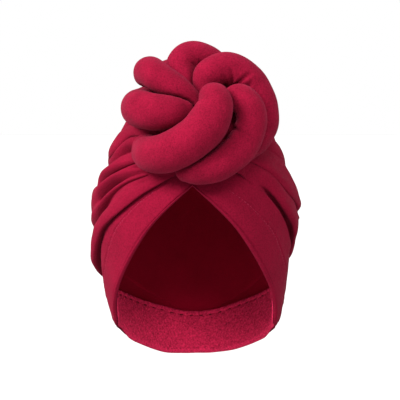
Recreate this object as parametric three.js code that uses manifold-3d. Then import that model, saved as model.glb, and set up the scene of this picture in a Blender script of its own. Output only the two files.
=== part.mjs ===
// Twist knot hat: a pre-tied jersey turban with a rosette of stuffed rolls.
// Millimetres. +Z is up, the face opening looks along -Y, +X is the wearer's left.
// The shapes are worked out round the middle of the head; the whole hat is then lowered
// so that the inner top of the crown, where it sits on a head, is the origin.

import * as THREE from 'three';
import { mergeVertices } from 'three/addons/utils/BufferGeometryUtils.js';
import Module from 'manifold-3d';

const wasm = await Module();
wasm.setup();

// ------------------------------------------------------------------ driving dimensions

// Half sizes of the head-shaped hollow, and the height of the crown's inner top above its
// middle.
const HEAD = { half: 87.5, front: 101, back: 106, up: 133, down: 175 };
const CROWN_TOP = 139;
const CROWN_CLOTH = 2.2;
const BAND_CLOTH = 2.4;
const TERRY_CLOTH = 2.8;
const CLOTH_GAP = 0.7;
const TERRY_GAP = 1.2;
const ROLL_GAP = 0.7;

// Folds run from a point at the hairline, under the knot, to a point at the nape.
const HAIRLINE = 24;
const NAPE = 36;
const CROWN_START = 0.05;
const CROWN_END = 0.99;
const CROWN_ROWS = 25;
const FOLD_COLUMNS = [0, 0.12, 0.35, 0.66];

// The cloth rises into the knot.
const BOSS = { x: 0.03, y: -0.56, z: 0.83, height: 20, reach: 45 };

// The band is pushed in a little over the wearer's left ear. reach: degrees.
const HOLLOW = { az: 86, z: -42, height: -4.5, reach: 16 };

// Edge of the face opening. az: degrees from the front, z: height, along: the place on the
// crown's border that lies across the band from it. Both sides of the hat share it.
const RIM = [
  { along: 0.00, az: 0, z: 42 },
  { along: 0.10, az: 13, z: 24 },
  { along: 0.19, az: 25, z: 5 },
  { along: 0.26, az: 35, z: -15 },
  { along: 0.32, az: 45, z: -35 },
  { along: 0.38, az: 56, z: -56 },
  { along: 0.44, az: 65, z: -75 },
  { along: 0.49, az: 70, z: -87 },
  { along: 0.56, az: 80, z: -93 },
  { along: 0.64, az: 96, z: -98.5 },
  { along: 0.75, az: 118, z: -112 },
  { along: 0.87, az: 146, z: -124.8 },
  { along: 0.95, az: 167, z: -127.6 },
  { along: 1.00, az: 180, z: -127.8 },
];

// Creases of the crown from the wearer's right border over the top to the left border.
// turns: degrees round the hairline-to-nape chord at the CREASE_PLACES along it.
// height: of the fold between this crease and the next; crest: where that fold peaks.
const CREASE_PLACES = [0.15, 0.45, 0.65, 0.90];
const CREASES = [
  { turns: [-101, -100, -90, -79], height: 9.0, crest: 0.30 },
  { turns: [-86, -87, -79, -68], height: 8.5, crest: 0.38 },
  { turns: [-76, -76, -69, -58], height: 6.5, crest: 0.40 },
  { turns: [-68, -68, -61, -49], height: 3.5, crest: 0.42 },
  { turns: [-59, -62, -53, -41], height: 2.0, crest: 0.45 },
  { turns: [-46, -49, -42, -32], height: 2.0, crest: 0.45 },
  { turns: [-31, -33, -29, -22], height: 3.0, crest: 0.50 },
  { turns: [-13, -15, -14, -11], height: 2.5, crest: 0.50 },
  { turns: [5, 5, 4, 2], height: 2.5, crest: 0.50 },
  { turns: [24, 24, 20, 14], height: 3.0, crest: 0.50 },
  { turns: [40, 42, 35, 26], height: 2.5, crest: 0.55 },
  { turns: [53, 56, 47, 37], height: 2.0, crest: 0.60 },
  { turns: [65, 68, 58, 48], height: 6.0, crest: 0.60 },
  { turns: [77, 80, 70, 59], height: 3.5, crest: 0.66 },
  { turns: [88, 94, 85, 78], height: 0, crest: 0.50 },
];
// The least gap between the cloth and the head, how bluntly the folds rise from their two
// ends, and how much flatter they lie at the nape than at the knot.
const CREASE_FLOOR = 1.2;
const FOLD_BLUNTNESS = 0.8;
const NAPE_FLATTENING = 0.8;
const NAPE_FLATTENS_FROM = 0.55;

// Heights above the crown's border, on the unit sphere: how far the band's top edge is
// tucked up, and the stretch over which the crown then closes on the head.
const BAND_TUCK = 0.06;
const SEAT_START = 0.08;
const SEAT_END = 0.13;

// Top edge of the terry band, round the inside of the nape.
const TERRY_TOP = [
  { az: 58, right: -58, left: -57 },
  { az: 100, right: -62, left: -55 },
  { az: 140, right: -81, left: -76 },
  { az: 166, right: -91, left: -89 },
  { az: 180, right: -92, left: -92 },
];

// Stuffed rolls: points of the centre line and the roll's radius there.
const ROLLS = {
  roll_front: [
    { x: 17.5, y: -102.5, z: 121, r: 11 },
    { x: 19, y: -109, z: 121, r: 13.5 },
    { x: 20.5, y: -116, z: 114, r: 16 },
    { x: 16, y: -121, z: 102, r: 18.2 },
    { x: 7, y: -122, z: 90, r: 18.3 },
    { x: -5, y: -121, z: 81, r: 18.2 },
    { x: -20, y: -115, z: 73, r: 18 },
    { x: -33, y: -103, z: 70.5, r: 17 },
    { x: -40, y: -87, z: 71, r: 16 },
    { x: -42, y: -76, z: 72, r: 14 },
  ],
  roll_lower: [
    { x: 34, y: -87, z: 118, r: 11 },
    { x: 42, y: -95, z: 119.5, r: 13.3 },
    { x: 49, y: -99, z: 113, r: 14 },
    { x: 51, y: -101, z: 102, r: 14.6 },
    { x: 48, y: -103, z: 89, r: 15.2 },
    { x: 41, y: -106, z: 77.5, r: 15.4 },
    { x: 31, y: -109, z: 67.5, r: 15 },
    { x: 18.5, y: -111, z: 60, r: 14 },
    { x: 5, y: -110, z: 56.5, r: 12.5 },
    { x: -4, y: -107, z: 55.5, r: 11 },
  ],
  roll_outer: [
    { x: 10, y: -81, z: 127, r: 11.5 },
    { x: 12.5, y: -80, z: 137.5, r: 13.8 },
    { x: 24.5, y: -77, z: 145.5, r: 15.2 },
    { x: 38.5, y: -73, z: 142.7, r: 15.2 },
    { x: 49.2, y: -70, z: 134.3, r: 15.2 },
    { x: 57.2, y: -69, z: 121.8, r: 15.2 },
    { x: 61, y: -70, z: 109, r: 15.2 },
    { x: 60.7, y: -73, z: 96, r: 14.8 },
    { x: 54.5, y: -78, z: 83, r: 13.8 },
    { x: 46, y: -83, z: 74, r: 12 },
  ],
  roll_top: [
    { x: -8, y: -72, z: 133, r: 12 },
    { x: -11, y: -62, z: 147, r: 15 },
    { x: -3, y: -56, z: 154.8, r: 15.5 },
    { x: 10, y: -52, z: 152.6, r: 15 },
    { x: 22, y: -48, z: 145.5, r: 13 },
  ],
  roll_upper_left: [
    { x: -10, y: -91, z: 126, r: 11.5 },
    { x: -18, y: -95, z: 131, r: 13.2 },
    { x: -29, y: -92, z: 137, r: 14 },
    { x: -38, y: -79, z: 143, r: 14 },
    { x: -40, y: -60, z: 141, r: 13.7 },
    { x: -31, y: -41, z: 139, r: 13 },
    { x: -12, y: -27, z: 145, r: 12.5 },
    { x: 12, y: -21, z: 147, r: 12.5 },
    { x: 35, y: -27, z: 141, r: 13 },
    { x: 51, y: -38, z: 126, r: 13 },
    { x: 58, y: -49, z: 108, r: 13 },
    { x: 57, y: -56, z: 92, r: 12 },
  ],
  roll_left: [
    { x: -10, y: -98, z: 109.5, r: 13.5 },
    { x: -20, y: -104, z: 108, r: 15.7 },
    { x: -33, y: -102, z: 108, r: 17 },
    { x: -44, y: -91, z: 110, r: 17.3 },
    { x: -48, y: -72, z: 111, r: 17 },
    { x: -48, y: -52, z: 112, r: 16 },
    { x: -42, y: -34, z: 116, r: 14 },
  ],
};
const ROLL_SIDES = 14;
const ROLL_STEP = 7;

// ------------------------------------------------------------------ helpers

const radians = THREE.MathUtils.degToRad;
const degrees = THREE.MathUtils.radToDeg;
const lerp = THREE.MathUtils.lerp;

// Smooth curve through a table's rows; at lies between the first and last value of key.
function curveThrough(rows, key, at, column) {
  const last = rows.length - 1;
  let i = 0;
  while (i < last - 1 && rows[i + 1][key] < at) {
    i += 1;
  }
  const slope = (a, b) => (rows[b][column] - rows[a][column]) / (rows[b][key] - rows[a][key]);
  const span = rows[i + 1][key] - rows[i][key];
  const t = (at - rows[i][key]) / span;
  const m0 = slope(Math.max(i - 1, 0), i + 1) * span;
  const m1 = slope(i, Math.min(i + 2, last)) * span;
  const p0 = rows[i][column];
  const p1 = rows[i + 1][column];
  return p0 + m0 * t + (3 * (p1 - p0) - 2 * m0 - m1) * t ** 2 + (2 * (p0 - p1) + m0 + m1) * t ** 3;
}

// Direction on the unit sphere at a turn from the front and a height.
function directionAt(az, z) {
  const up = z / (z > 0 ? HEAD.up : HEAD.down);
  const flat = Math.sqrt(1 - up ** 2);
  return new THREE.Vector3(Math.sin(radians(az)) * flat, -Math.cos(radians(az)) * flat, up);
}

// Rounded swelling of a given height round a centre, gone at its reach.
function swelling(direction, centre, { height, reach }) {
  const away = degrees(direction.angleTo(centre)) / reach;
  return away < 1 ? height * (1 - away ** 2) ** 2 : 0;
}

const bossCentre = new THREE.Vector3(BOSS.x, BOSS.y, BOSS.z).normalize();
const hollowCentre = directionAt(HOLLOW.az, HOLLOW.z);

// Point at a lift above the head's surface, in a direction given on the unit sphere.
function onHead(direction, lift) {
  const depth = direction.y < 0 ? HEAD.front : HEAD.back;
  const rise = direction.z > 0 ? HEAD.up : HEAD.down;
  const out = new THREE.Vector3(direction.x / HEAD.half, direction.y / depth, direction.z / rise);
  const point = new THREE.Vector3(direction.x * HEAD.half, direction.y * depth, direction.z * rise);
  return point.addScaledVector(out.normalize(), lift + swelling(direction, hollowCentre, HOLLOW));
}

// The folds are circles through the hairline point and the nape point, turned round the
// chord between them. turn: degrees round it, along: 0 at the hairline, 1 at the nape.
const hairlinePoint = new THREE.Vector3(0, -Math.cos(radians(HAIRLINE)), Math.sin(radians(HAIRLINE)));
const napePoint = new THREE.Vector3(0, Math.cos(radians(NAPE)), -Math.sin(radians(NAPE)));
const chordMiddle = hairlinePoint.clone().add(napePoint).multiplyScalar(0.5);
const chordAxis = napePoint.clone().sub(hairlinePoint).normalize();
const chordUp = new THREE.Vector3(0, -chordAxis.z, chordAxis.y);
const chordHalf = napePoint.distanceTo(hairlinePoint) / 2;
const chordDrop = -chordMiddle.dot(chordUp);

function foldDirection(turn, along) {
  const shift = chordDrop * Math.cos(radians(turn));
  const radius = Math.hypot(chordHalf, shift);
  const sweep = Math.PI / 2 + Math.atan(shift / chordHalf);
  const angle = Math.PI / 2 - (2 * along - 1) * sweep;
  const side = chordUp.clone().multiplyScalar(Math.cos(radians(turn)));
  side.x += Math.sin(radians(turn));
  return chordMiddle.clone()
    .addScaledVector(chordAxis, radius * Math.cos(angle))
    .addScaledVector(side, shift + radius * Math.sin(angle))
    .normalize();
}

function creaseTurn(crease, along) {
  const rows = CREASE_PLACES.map((place, i) => ({ place, turn: crease.turns[i] }));
  const within = THREE.MathUtils.clamp(along, CREASE_PLACES[0], CREASE_PLACES[CREASE_PLACES.length - 1]);
  return curveThrough(rows, 'place', within, 'turn');
}

function borderDirection(side, along) {
  return foldDirection(creaseTurn(CREASES[side < 0 ? 0 : CREASES.length - 1], along), along);
}

// One closed body between two grids of points with the same rows and columns.
function shellGeometry(outer, inner) {
  const rows = outer.length;
  const columns = outer[0].length;
  const points = [...outer.flat(), ...inner.flat()];
  const index = [];
  const at = (side, i, j) => side * rows * columns + i * columns + j;
  const quad = (a, b, c, d) => index.push(a, b, c, a, c, d);
  for (let i = 0; i < rows - 1; i += 1) {
    for (let j = 0; j < columns - 1; j += 1) {
      quad(at(0, i, j), at(0, i + 1, j), at(0, i + 1, j + 1), at(0, i, j + 1));
      quad(at(1, i, j), at(1, i, j + 1), at(1, i + 1, j + 1), at(1, i + 1, j));
    }
    quad(at(0, i, 0), at(1, i, 0), at(1, i + 1, 0), at(0, i + 1, 0));
    const end = columns - 1;
    quad(at(0, i, end), at(0, i + 1, end), at(1, i + 1, end), at(1, i, end));
  }
  for (let j = 0; j < columns - 1; j += 1) {
    const end = rows - 1;
    quad(at(0, 0, j), at(0, 0, j + 1), at(1, 0, j + 1), at(1, 0, j));
    quad(at(0, end, j), at(1, end, j), at(1, end, j + 1), at(0, end, j + 1));
  }
  return indexedGeometry(points, index);
}

// One closed body through sections; a ring joins the last to the first, else ends are fans.
function sectionGeometry(sections, ring) {
  const count = sections.length;
  const sides = sections[0].length;
  const points = sections.flat();
  const index = [];
  const at = (i, j) => (i % count) * sides + (j % sides);
  for (let i = 0; i < (ring ? count : count - 1); i += 1) {
    for (let j = 0; j < sides; j += 1) {
      index.push(at(i, j), at(i, j + 1), at(i + 1, j + 1), at(i, j), at(i + 1, j + 1), at(i + 1, j));
    }
  }
  if (!ring) {
    for (let j = 1; j < sides - 1; j += 1) {
      index.push(at(0, 0), at(0, j + 1), at(0, j));
      index.push(at(count - 1, 0), at(count - 1, j), at(count - 1, j + 1));
    }
  }
  return indexedGeometry(points, index);
}

function indexedGeometry(points, index) {
  const geometry = new THREE.BufferGeometry();
  geometry.setAttribute('position', new THREE.Float32BufferAttribute(points.flatMap((p) => [p.x, p.y, p.z]), 3));
  geometry.setIndex(index);
  const turned = new wasm.Manifold(meshOf(geometry)).volume() < 0;
  if (turned) {
    for (let i = 0; i < index.length; i += 3) {
      [index[i + 1], index[i + 2]] = [index[i + 2], index[i + 1]];
    }
    geometry.setIndex(index);
  }
  return geometry;
}

function meshOf(geometry) {
  return new wasm.Mesh({
    numProp: 3,
    vertProperties: new Float32Array(geometry.attributes.position.array),
    triVerts: new Uint32Array(geometry.index.array),
  });
}

function cutGeometry(geometry, cutter) {
  const solid = new wasm.Manifold(meshOf(geometry)).subtract(cutter);
  const mesh = solid.getMesh();
  const cut = new THREE.BufferGeometry();
  cut.setAttribute('position', new THREE.BufferAttribute(mesh.vertProperties, 3));
  cut.setIndex(new THREE.BufferAttribute(mesh.triVerts, 1));
  return cut;
}

// ------------------------------------------------------------------ crown

// Lift of the crown's inner side above the head at a fraction f of the way from one crease
// to the next: the fold itself, the rise into the knot, and room for the band's top edge.
function crownColumn(fold, f, along) {
  const here = CREASES[fold];
  const next = CREASES[Math.min(fold + 1, CREASES.length - 1)];
  const turn = lerp(creaseTurn(here, along), creaseTurn(next, along), f);
  const direction = foldDirection(turn, along);
  const power = Math.log(0.5) / Math.log(here.crest);
  const flatter = NAPE_FLATTENING * THREE.MathUtils.smoothstep(along, NAPE_FLATTENS_FROM, 1);
  const swell = Math.sin(Math.PI * along) ** FOLD_BLUNTNESS * (1 - flatter);
  const ridge = CREASE_FLOOR + here.height * swell * Math.sin(Math.PI * f ** power);
  const aboveBorder = direction.z - borderDirection(turn, along).z;
  const held = THREE.MathUtils.clamp((SEAT_END - aboveBorder) / (SEAT_END - SEAT_START), 0, 1);
  const lift = Math.max(ridge, held * (BAND_CLOTH + CLOTH_GAP));
  return { direction, lift: lift + swelling(direction, bossCentre, BOSS) };
}

function crownGrid(extra) {
  const grid = [];
  for (let i = 0; i < CROWN_ROWS; i += 1) {
    const along = lerp(CROWN_START, CROWN_END, i / (CROWN_ROWS - 1));
    const row = [];
    for (let fold = 0; fold < CREASES.length - 1; fold += 1) {
      for (const f of FOLD_COLUMNS) {
        const { direction, lift } = crownColumn(fold, f, along);
        row.push(onHead(direction, lift + extra));
      }
    }
    const border = crownColumn(CREASES.length - 1, 0, along);
    row.push(onHead(border.direction, border.lift + extra));
    grid.push(row);
  }
  return grid;
}

const crown = shellGeometry(crownGrid(CROWN_CLOTH), crownGrid(0));

// ------------------------------------------------------------------ face band

const BAND_STEPS = 34;
const BAND_SECTION = [
  { across: 0.00, lift: 0.15 },
  { across: 0.33, lift: 0 },
  { across: 0.66, lift: 0 },
  { across: 1.00, lift: 0 },
  { across: 1.00, lift: 1 },
  { across: 0.66, lift: 1 },
  { across: 0.33, lift: 1 },
  { across: 0.00, lift: 0.85 },
];

// Direction across the band: 0 at the rim, 1 at the edge tucked under the crown.
function bandDirection(side, along, across) {
  const az = curveThrough(RIM, 'along', along, 'az') * side;
  const z = curveThrough(RIM, 'along', along, 'z');
  const rim = directionAt(az, z);
  const top = borderDirection(side, along);
  top.z += BAND_TUCK;
  return rim.lerp(top.normalize(), across).normalize();
}

function bandSection(side, along) {
  return BAND_SECTION.map(({ across, lift }) => onHead(bandDirection(side, along, across), lift * BAND_CLOTH));
}

const bandSections = [];
for (let i = 0; i <= BAND_STEPS; i += 1) {
  bandSections.push(bandSection(-1, i / BAND_STEPS));
}
for (let i = BAND_STEPS - 1; i > 0; i -= 1) {
  bandSections.push(bandSection(1, i / BAND_STEPS));
}
const faceBand = sectionGeometry(bandSections, true);

// ------------------------------------------------------------------ terry band

// The terry starts this far along the rim, a little behind its edge, and ends above its foot.
const TERRY_STEPS = 16;
const TERRY_START = 0.40;
const TERRY_BEHIND = 1.2;
const TERRY_ABOVE = 1.5;
const TERRY_ACROSS = [0, 0.33, 0.66, 1];

function terryDirection(side, step, across) {
  const along = lerp(TERRY_START, 1, step);
  const az = curveThrough(RIM, 'along', along, 'az') + TERRY_BEHIND * (1 - step);
  const z = curveThrough(RIM, 'along', along, 'z') + TERRY_ABOVE;
  const topZ = curveThrough(TERRY_TOP, 'az', Math.max(az, TERRY_TOP[0].az), side < 0 ? 'right' : 'left');
  return directionAt(side * az, lerp(z, topZ, across));
}

function terryGrid(lift) {
  return TERRY_ACROSS.map((across) => {
    const row = [];
    for (let i = 0; i <= TERRY_STEPS; i += 1) {
      row.push(onHead(terryDirection(-1, i / TERRY_STEPS, across), lift));
    }
    for (let i = TERRY_STEPS - 1; i >= 0; i -= 1) {
      row.push(onHead(terryDirection(1, i / TERRY_STEPS, across), lift));
    }
    return row;
  });
}

const napeBand = shellGeometry(terryGrid(-TERRY_GAP), terryGrid(-TERRY_GAP - TERRY_CLOTH));

// ------------------------------------------------------------------ knot

const SUPPORT_STEPS = 12;

// Everything the knot rests on, as one solid that the rolls are cut by.
function supportSolid() {
  const loops = crownGrid(CROWN_CLOTH + ROLL_GAP).map((row, i) => {
    const along = lerp(CROWN_START, CROWN_END, i / (CROWN_ROWS - 1));
    const first = creaseTurn(CREASES[0], along) + 360;
    const last = creaseTurn(CREASES[CREASES.length - 1], along);
    const loop = [...row];
    for (let j = 1; j < SUPPORT_STEPS; j += 1) {
      loop.push(onHead(foldDirection(lerp(last, first, j / SUPPORT_STEPS), along), BAND_CLOTH + ROLL_GAP));
    }
    return loop;
  });
  const sides = loops[0].length;
  const hairlineTip = onHead(hairlinePoint, BAND_CLOTH + ROLL_GAP);
  const napeTip = onHead(napePoint, BAND_CLOTH + ROLL_GAP);
  const sections = [Array(sides).fill(hairlineTip), ...loops, Array(sides).fill(napeTip)];
  const merged = mergeVertices(sectionGeometry(sections, false));
  return new wasm.Manifold(meshOf(merged));
}

function rollLine(rows) {
  const curve = new THREE.CatmullRomCurve3(rows.map((p) => new THREE.Vector3(p.x, p.y, p.z)), false, 'centripetal');
  const steps = Math.round(curve.getLength() / ROLL_STEP);
  const frames = curve.computeFrenetFrames(steps, false);
  const samples = [];
  const stations = rows.map((p, i) => ({ t: i / (rows.length - 1), r: p.r }));
  for (let i = 0; i <= steps; i += 1) {
    const t = curve.getUtoTmapping(i / steps);
    samples.push({
      centre: curve.getPoint(t),
      radius: curveThrough(stations, 't', t, 'r'),
      normal: frames.normals[i],
      binormal: frames.binormals[i],
      tangent: frames.tangents[i],
    });
  }
  return samples;
}

const lines = Object.fromEntries(Object.entries(ROLLS).map(([name, rows]) => [name, rollLine(rows)]));

// How far a point lies outside a roll, taken as a string of thick segments.
function outsideRoll(samples, point) {
  let least = Infinity;
  for (let i = 0; i < samples.length - 1; i += 1) {
    const segment = new THREE.Line3(samples[i].centre, samples[i + 1].centre);
    const t = segment.closestPointToPointParameter(point, true);
    const radius = lerp(samples[i].radius, samples[i + 1].radius, t);
    least = Math.min(least, segment.at(t, new THREE.Vector3()).distanceTo(point) - radius);
  }
  return least;
}

// Two rolls that press on each other share a flat of contact midway between them.
function rollPoint(name, centre, direction, reach) {
  const others = Object.keys(lines).filter((other) => other !== name);
  const at = (t) => centre.clone().addScaledVector(direction, t);
  const free = (t) => {
    const point = at(t);
    const room = Math.min(...others.map((other) => outsideRoll(lines[other], point)));
    return room - outsideRoll(lines[name], point) - ROLL_GAP;
  };
  if (free(reach) >= 0) {
    return at(reach);
  }
  let low = 0;
  let high = reach;
  for (let k = 0; k < 9; k += 1) {
    const middle = (low + high) / 2;
    if (free(middle) >= 0) {
      low = middle;
    } else {
      high = middle;
    }
  }
  return at(Math.max(low, 0.5));
}

// Rounded end of a roll, as shares of its radius.
const CAP = [{ out: 0.95, wide: 0.30 }, { out: 0.70, wide: 0.72 }, { out: 0.30, wide: 0.95 }];

function rollGeometry(name) {
  const samples = lines[name];
  const sections = [];
  const section = (sample, shift, wide) => {
    const centre = sample.centre.clone().addScaledVector(sample.tangent, shift);
    const points = [];
    for (let j = 0; j < ROLL_SIDES; j += 1) {
      const turn = (2 * Math.PI * j) / ROLL_SIDES;
      const direction = sample.normal.clone().multiplyScalar(Math.cos(turn));
      direction.addScaledVector(sample.binormal, Math.sin(turn));
      points.push(rollPoint(name, centre, direction, wide * sample.radius));
    }
    sections.push(points);
  };
  const first = samples[0];
  const last = samples[samples.length - 1];
  CAP.forEach(({ out, wide }) => section(first, -out * first.radius, wide));
  samples.forEach((sample) => section(sample, 0, 1));
  [...CAP].reverse().forEach(({ out, wide }) => section(last, out * last.radius, wide));
  return sectionGeometry(sections, false);
}

// ------------------------------------------------------------------ assembly

const hat = new THREE.Group();
hat.position.z = -CROWN_TOP;

function addPiece(name, geometry, color, roughness) {
  const mesh = new THREE.Mesh(geometry, new THREE.MeshStandardMaterial({ color, roughness, metalness: 0 }));
  mesh.name = name;
  hat.add(mesh);
}

addPiece('crown', crown, 0xa81c3c, 0.9);
addPiece('face_band', faceBand, 0xa81c3c, 0.9);
addPiece('nape_band', napeBand, 0xa01a38, 1.0);
const support = supportSolid();
for (const name of Object.keys(ROLLS)) {
  addPiece(name, cutGeometry(rollGeometry(name), support), 0xb01e40, 0.9);
}

export default hat;
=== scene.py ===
"""Twist knot hat: a pre-tied jersey turban with a rosette of stuffed rolls.

The shapes are worked out in millimetres round the middle of the head, as the CAD part's
are, and go into the frame in metres with the crown's inner top at the origin.
"""

import math

import bpy
import numpy as np
from mathutils import Matrix, Vector
from mathutils.bvhtree import BVHTree


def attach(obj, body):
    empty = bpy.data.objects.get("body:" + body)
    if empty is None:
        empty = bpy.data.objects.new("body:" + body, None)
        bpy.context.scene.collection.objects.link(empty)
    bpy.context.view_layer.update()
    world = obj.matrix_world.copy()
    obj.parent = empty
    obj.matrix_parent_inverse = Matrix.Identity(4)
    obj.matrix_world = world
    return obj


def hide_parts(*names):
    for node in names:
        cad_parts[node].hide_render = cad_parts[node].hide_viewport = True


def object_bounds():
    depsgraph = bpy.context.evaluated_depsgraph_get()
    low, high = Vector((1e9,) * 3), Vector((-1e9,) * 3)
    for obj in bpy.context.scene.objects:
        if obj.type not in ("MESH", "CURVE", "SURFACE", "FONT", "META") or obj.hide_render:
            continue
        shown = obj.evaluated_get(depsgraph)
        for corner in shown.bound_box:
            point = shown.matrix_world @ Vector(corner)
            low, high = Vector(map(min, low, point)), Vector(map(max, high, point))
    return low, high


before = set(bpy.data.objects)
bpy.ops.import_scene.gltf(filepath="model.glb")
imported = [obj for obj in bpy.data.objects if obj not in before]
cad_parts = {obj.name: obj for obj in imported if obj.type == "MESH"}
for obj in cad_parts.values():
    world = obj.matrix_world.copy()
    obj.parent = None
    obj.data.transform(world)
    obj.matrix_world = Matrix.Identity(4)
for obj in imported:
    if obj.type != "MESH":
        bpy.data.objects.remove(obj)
cad_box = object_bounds()


class Row(dict):
    """Named values, read as row.name."""

    __getattr__ = dict.__getitem__


def table(columns, rows):
    return [Row(zip(columns.split(), row)) for row in rows]


# -------- driving dimensions

# Millimetres, and degrees for angles, unless a comment says otherwise.
MM = 0.001
HEAD = Row(half=87.5, front=101, back=106, up=133, down=175)
CROWN_TOP = 139
CROWN_CLOTH = 2.2
BAND_CLOTH = 2.4
TERRY_CLOTH = 2.6
CLOTH_GAP = 0.7
TERRY_GAP = 0.7
RIM_LIFT = 2.0
ROLL_GAP = 0.7

# The points that all folds run between: the hairline's rise and the nape's drop.
HAIRLINE = 24
NAPE = 36
# The crown's first and last rows, as shares of the way from hairline to nape.
CROWN_START = 0.025
CROWN_END = 0.99
# The crown swells under the knot, about this direction.
BOSS = Row(x=0.03, y=-0.56, z=0.83, height=20, reach=45)
# The cloth is drawn in at the wearer's left, and where the hem turns in under both sides.
DRAWN_IN = table("az z height reach", [
    (86, -42, -4.5, 16), (-90, -116, -2.2, 16), (92, -118, -2.8, 19),
])

# Edge of the face opening: degrees from the front, height, and the place along the crown's
# border that lies across the band from it.
RIM = table("along az z", [
    (0, 0, 42), (0.1, 13, 24), (0.19, 25, 5), (0.26, 35, -15), (0.32, 45, -35),
    (0.38, 56, -56), (0.44, 65, -75), (0.49, 70, -87), (0.56, 80, -93), (0.64, 96, -99.8),
    (0.75, 118, -112.6), (0.87, 146, -125.4), (0.95, 167, -128.7), (1, 180, -129),
])

# Creases of the crown from the wearer's right border over the top to the left border, at the
# CREASE_PLACES from hairline to nape. turns: degrees round the hairline-to-nape chord.
# bottoms: lift of the crease. heights: lift of the fold between this crease and the next.
# crest: where across the fold it is highest. over: how far the fold leans over the crease
# below it, as a share of its width. columns: mesh columns across it.
CREASE_PLACES = [0.14, 0.24, 0.34, 0.44, 0.53, 0.70, 0.90]
CREASES = table("turns bottoms heights crest over columns", [
    ([-101, -100, -98, -96.6, -94.4, -87, -79], [1.6, 1.6, 1.6, 1.6, 1.6, 1.6, 1.6],
     [6, 6, 7, 9.2, 9.6, 6.5, 3.5], 0.36, 0.34, 32),
    ([-88, -87, -88, -89.4, -86.6, -73.5, -65], [1.2, 0.8, 0.2, 0.2, 0.2, 1.6, 1.6],
     [3.6, 4.2, 5, 8.2, 8.6, 6, 3], 0.42, 0.15, 20),
    ([-85, -83.5, -83.5, -81.5, -78.6, -66, -59], [2, 0.6, -0.6, 6.5, 8.4, 5.4, 2.8],
     [4.6, 5.6, 6.8, 8.8, 8.8, 6.2, 3], 0.55, 0.1, 22),
    ([-75, -76.5, -76.5, -74.5, -73, -61, -53], [1.2, 0.6, 0.2, 8.6, 9, 4, 1.6],
     [3.5, 6.2, 7.4, 5.4, 4.6, 4, 2.6], 0.3, 0.1, 24),
    ([-64.5, -66, -69, -64.5, -62, -52, -43], [1, 0, -0.6, -1.6, -1, 0.8, 1],
     [3, 5.2, 2.6, -0.6, 0, 1.2, 1.2], 0.55, 0.1, 18),
    ([-57, -57.5, -64, -60.5, -58.6, -49, -40.5], [1.4, 0.4, -0.6, -1.6, -1, 0.8, 1],
     [3.2, 5.2, 5.2, 3.2, 3.4, 3, 2], 0.4, 0.22, 24),
    ([-46, -48, -50, -51, -50, -42, -32], [1.6, 1.6, 0.8, 0.4, 0.8, 1.4, 1.2],
     [3, 3.2, 2.8, 2.4, 2.6, 2.6, 1.8], 0.45, 0.1, 16),
    ([-32, -33, -33, -33, -32, -27, -21], [1.4, 1.4, 1.6, 1.6, 1.6, 1.4, 1.2],
     [3, 3, 3.4, 3.6, 3.4, 2.8, 2], 0.5, 0, 12),
    ([-13, -15, -15, -15, -15, -13, -10], [1.4, 1.4, 1.4, 1.4, 1.4, 1.4, 1.2],
     [3.2, 3.2, 3.2, 3.2, 3, 2.6, 1.8], 0.5, 0, 12),
    ([5, 5, 5, 5, 6, 5, 3], [1.4, 1.4, 1.4, 1.4, 1.4, 1.4, 1.2],
     [3.2, 3.2, 3.2, 3.2, 3, 2.8, 2], 0.5, 0, 12),
    ([24, 25, 24, 23, 22, 19, 15], [1.4, 1.4, 1.4, 1.4, 1.4, 1.4, 1.2],
     [3.4, 3.2, 2.4, 1.8, 2.2, 2.8, 2.2], 0.55, 0, 12),
    ([40, 41, 41, 40, 38, 32, 26], [1.4, 1, 0.4, -0.2, 0.4, 1.2, 1.2],
     [2.8, 2.4, 1, 0.4, 1, 2.2, 2], 0.6, 0.1, 16),
    ([50, 52, 54, 53, 51, 44, 37], [1, 0.4, -0.4, -1.2, -0.4, 0.8, 1],
     [2.4, 2.8, 2.8, 1.8, 2, 2.4, 2], 0.5, 0.2, 16),
    ([58, 61.5, 65, 62.5, 60.5, 53, 46], [1.2, 1, 0.8, 0.4, 0.4, 0.8, 1.2],
     [3, 4.8, 6.2, 7.6, 7.8, 5.5, 3], 0.72, 0.26, 34),
    ([72, 77, 81.5, 80, 78.5, 69, 60], [1.6, 1.6, 2.2, 3.4, 3.4, 2, 1.6],
     [2.5, 4.5, 6.8, 5.9, 4, 3.8, 2.5], 0.34, 0, 34),
    ([85.5, 91.6, 94.6, 96.1, 90.8, 82, 77], [0.8, -0.4, -1.4, -1.4, -1.4, 0.8, 1.2],
     [0, 0, 0, 0, 0, 0, 0], 0.5, 0, 0),
])
FOLD_FULLNESS = 0.88
# Creases that run only part of the way. turns: at the start, middle and end of the run.
# depth: at its deepest, which is at the place "deepest" of the run. width: in degrees.
WRINKLES = table("start to turns depth deepest width", [
    (0.16, 0.405, [-85, -83.5, -84], 4.6, 0.88, 1.6),
    (0.15, 0.68, [-87.5, -88.8, -76.5], 5.5, 0.66, 1.9),
    (0.14, 0.42, [-75, -76.6, -75], 2.8, 0.72, 1.6), (0.18, 0.33, [-65, -67, -71], 3.5, 0.4, 1.8),
    (0.1, 0.24, [-80, -80, -79], 1.2, 0.5, 1), (0.1, 0.26, [-93, -92, -92], 1, 0.4, 1.4),
    (0.22, 0.42, [-94, -92, -91], 0.9, 0.5, 2.2), (0.2, 0.36, [73, 77, 78], 0.9, 0.5, 1),
    (0.22, 0.45, [70, 73, 75], 0.8, 0.5, 2.4), (0.42, 0.6, [83, 74.8, 66], 2.6, 0.45, 1.6),
    (0.17, 0.56, [84, 91, 90], 14, 0.56, 2.6),
])
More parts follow.
